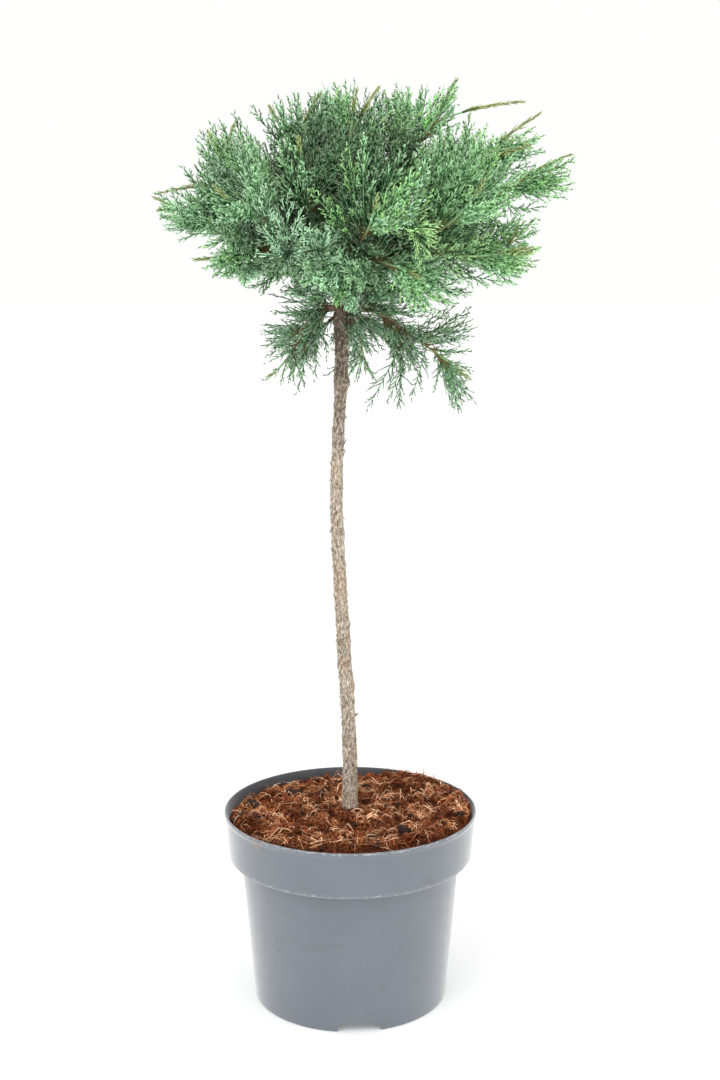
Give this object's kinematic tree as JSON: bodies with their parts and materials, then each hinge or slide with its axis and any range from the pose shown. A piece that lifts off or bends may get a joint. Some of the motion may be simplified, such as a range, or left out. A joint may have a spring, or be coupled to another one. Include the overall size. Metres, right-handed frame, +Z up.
{
  "type": "potted standard juniper",
  "caption": "Blue-green juniper grafted on a clear upright trunk, with a spreading crown of feathery sprays, in a round plastic nursery pot of coir mix.",
  "frame": {"origin": "centre of the pot's flat underside", "axes": "+Z up along the trunk, +X to the right and -Y towards the viewer of the picture"},
  "size_m": [0.3477, 0.285, 0.7934],
  "materials": {
    "pot": "grey moulded polypropylene with a soft sheen",
    "potting_mix": "loose reddish coir fibre and bark",
    "bark": "flaking grey-beige bark",
    "young_bark": "smooth brown bark",
    "foliage": "blue-green scale leaves with a waxy bloom"
  },
  "bodies": {
    "root": {"pot": "pot", "potting_mix": "potting_mix", "trunk": "bark", "bough_left": "young_bark", "bough_left_front": "young_bark", "bough_front": "young_bark", "bough_right_front": "young_bark", "bough_right": "young_bark", "bough_right_back": "young_bark", "bough_back": "young_bark", "bough_left_back": "young_bark", "bough_top_left": "young_bark", "bough_top_right": "young_bark", "bough_low_left": "young_bark", "bough_low_right": "young_bark", "bough_low_back": "young_bark", "foliage_left": "foliage", "foliage_left_upper": "foliage", "foliage_left_lower": "foliage", "foliage_left_front": "foliage", "foliage_front_left": "foliage", "foliage_front": "foliage", "foliage_front_lower": "foliage", "foliage_right_front": "foliage", "foliage_right_lower": "foliage", "foliage_right": "foliage", "foliage_right_upper": "foliage", "foliage_right_back": "foliage", "foliage_back": "foliage", "foliage_back_left": "foliage", "foliage_left_back": "foliage", "foliage_top_left": "foliage", "foliage_top_front": "foliage", "foliage_top_right": "foliage", "foliage_top_back": "foliage", "foliage_low_left": "foliage", "foliage_low_right": "foliage", "foliage_low_back": "foliage"}
  },
  "joints": []
}
